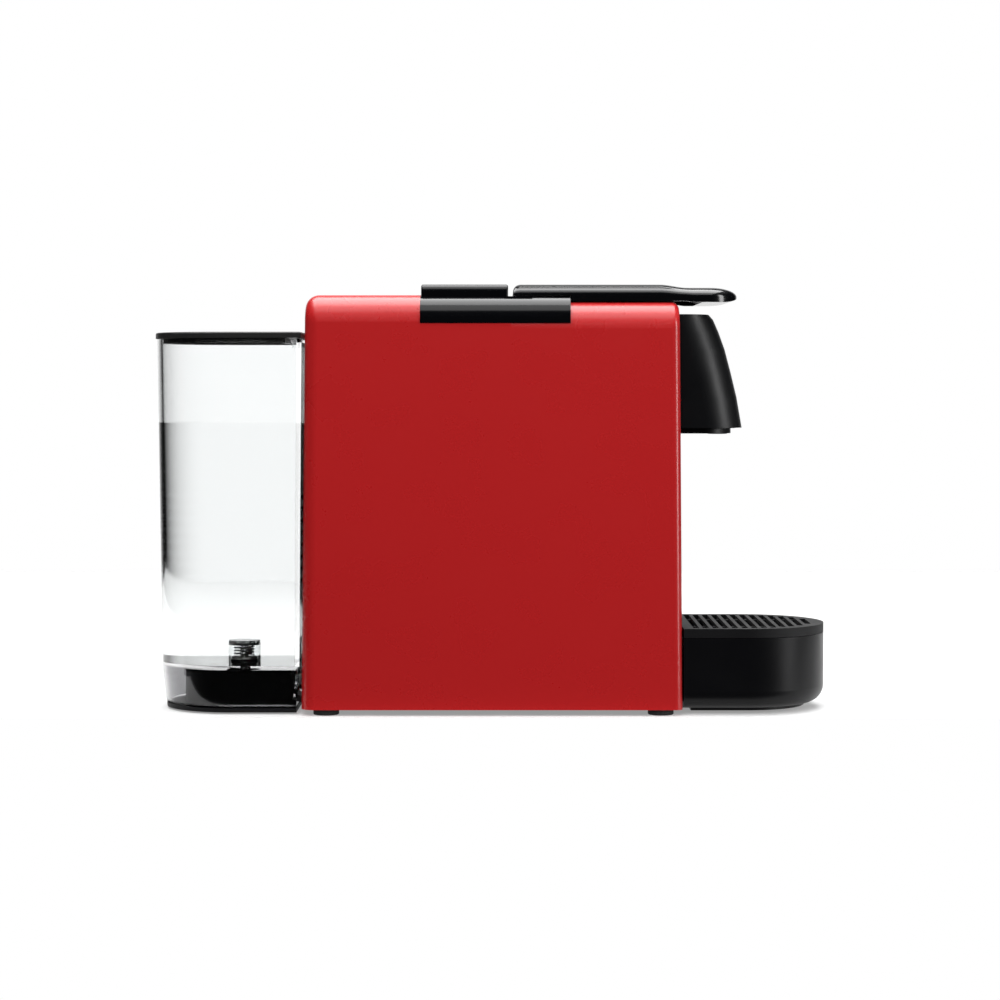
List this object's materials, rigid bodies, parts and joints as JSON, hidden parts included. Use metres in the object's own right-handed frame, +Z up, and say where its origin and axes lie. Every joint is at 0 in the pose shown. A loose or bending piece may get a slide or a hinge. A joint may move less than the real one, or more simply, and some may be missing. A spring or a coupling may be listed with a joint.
{
  "type": "espresso machine",
  "caption": "Compact capsule espresso machine with a red casing, black top lever and panel, clear rear water tank, and a rounded drip tray below the coffee outlet.",
  "frame": {"origin": "on the table under the centre of the bounding box", "axes": "+X to the front where the cup stands, +Y to the far side of the machine, +Z up"},
  "size_m": [0.3296, 0.084, 0.2075],
  "materials": {
    "casing_red": "gloss moulded red plastic",
    "panel_black": "gloss black plastic",
    "button_black": "satin black plastic",
    "lever_black": "gloss black plastic",
    "head_black": "gloss black plastic",
    "tray_black": "satin black plastic",
    "grid_black": "satin black plastic",
    "lid_dark": "dark grey satin plastic",
    "tank_clear": "clear plastic",
    "stand_black": "matt black plastic",
    "inner_grey": "glass filled grey plastic",
    "inner_black": "matt black plastic",
    "white_plastic": "white plastic",
    "rubber_black": "matt rubber",
    "silicone_hose": "translucent silicone",
    "seal_red": "silicone rubber",
    "steel": "stainless steel",
    "spring_steel": "drawn wire",
    "yoke_steel": "zinc plated sheet",
    "brass": "turned brass",
    "cast_aluminium": "die cast",
    "coil_resin": "moulded resin",
    "board_green": "circuit board"
  },
  "bodies": {
    "base": {"housing": "casing_red", "rear_panel": "inner_black", "front_panel": "tray_black", "chassis_base": "inner_black", "feet": "rubber_black", "inner_frame": "inner_grey", "cord_gland": "inner_black", "screws": "steel", "control_panel": "panel_black", "button_springs": "spring_steel", "button_board": "board_green", "brew_frame": "inner_grey", "brew_cage": "inner_black", "needle_plate": "steel", "cage_seal": "seal_red", "capsule_chute": "inner_black", "outlet_funnel": "inner_black", "nozzle": "head_black", "head_cover": "head_black", "head_base": "head_black", "tank_pedestal": "stand_black", "pedestal_base": "stand_black", "socket_seal": "rubber_black", "pump_body": "white_plastic", "pump_coil": "coil_resin", "pump_yoke": "yoke_steel", "pump_spring": "spring_steel", "pump_rebound_spring": "spring_steel", "pump_mounts": "rubber_black", "pump_bracket": "yoke_steel", "thermoblock": "cast_aluminium", "hose_fittings": "brass", "thermoblock_stand": "inner_grey", "thermal_cutouts": "inner_black", "flow_meter_body": "white_plastic", "flow_meter_cover": "inner_black", "water_hoses": "silicone_hose", "pressure_hoses": "silicone_hose", "hose_clips": "spring_steel", "power_board": "board_green", "lever_switch": "inner_black"},
    "lever": {"lever": "lever_black", "lever_arms": "steel", "lever_pins": "steel"},
    "carriage": {"carriage": "inner_grey", "capsule_plate": "steel"},
    "espresso_button": {"espresso_button": "button_black"},
    "lungo_button": {"lungo_button": "button_black"},
    "tank": {"water_tank": "tank_clear", "tank_filter": "white_plastic", "tank_valve_spring": "spring_steel"},
    "tank_lid": {"tank_lid": "lid_dark", "tank_lid_pin": "steel"},
    "tank_valve": {"tank_valve": "white_plastic", "tank_valve_seal": "rubber_black"},
    "drip_tray": {"drip_tray": "tray_black", "capsule_container": "tray_black"},
    "drip_grid": {"drip_grid": "grid_black"},
    "pump_piston": {"pump_piston": "steel"},
    "flow_impeller": {"flow_impeller": "white_plastic"}
  },
  "joints": [
    {"name": "lever_hinge", "type": "hinge", "parent": "base", "child": "lever", "pos_m": [0.0155, 0, 0.2025], "axis": [0, -1, 0], "range_deg": [0, 90]},
    {"name": "carriage_slide", "type": "slide", "parent": "base", "child": "carriage", "axis": [1, 0, 0], "range_m": [0, 0.0302]},
    {"name": "espresso_button_slide", "type": "slide", "parent": "base", "child": "espresso_button", "axis": [0, 0, -1], "range_m": [0, 0.0012], "stiffness_N_per_m": 400, "springref_m": -0.0005, "deforming": ["button_springs"]},
    {"name": "lungo_button_slide", "type": "slide", "parent": "base", "child": "lungo_button", "axis": [0, 0, -1], "range_m": [0, 0.0012], "stiffness_N_per_m": 400, "springref_m": -0.0005, "deforming": ["button_springs"]},
    {"name": "tank_lift", "type": "slide", "parent": "base", "child": "tank", "axis": [0, 0, 1], "range_m": [0, 0.2]},
    {"name": "tank_lid_hinge", "type": "hinge", "parent": "tank", "child": "tank_lid", "pos_m": [-0.0934, 0, 0.183], "axis": [0, 1, 0], "range_deg": [0, 85]},
    {"name": "tank_valve_slide", "type": "slide", "parent": "tank", "child": "tank_valve", "axis": [0, 0, 1], "range_m": [0, 0.0015], "stiffness_N_per_m": 150, "springref_m": -0.001, "deforming": ["tank_valve_spring"]},
    {"name": "drip_tray_slide", "type": "slide", "parent": "base", "child": "drip_tray", "axis": [1, 0, 0], "range_m": [0, 0.12]},
    {"name": "drip_grid_lift", "type": "slide", "parent": "drip_tray", "child": "drip_grid", "axis": [0, 0, 1], "range_m": [0, 0.05]},
    {"name": "pump_piston_slide", "type": "slide", "parent": "base", "child": "pump_piston", "axis": [0, 0, 1], "range_m": [0, 0.006], "stiffness_N_per_m": 400, "springref_m": -0.001, "deforming": ["pump_spring"]},
    {"name": "flow_impeller_spin", "type": "hinge", "parent": "base", "child": "flow_impeller", "pos_m": [-0.038, -0.018, 0.026], "axis": [0, 0, 1], "continuous": true}
  ],
  "couplings": [
    {"joint": "carriage_slide", "follows": "lever_hinge", "m_per_rad": 0.0189}
  ]
}
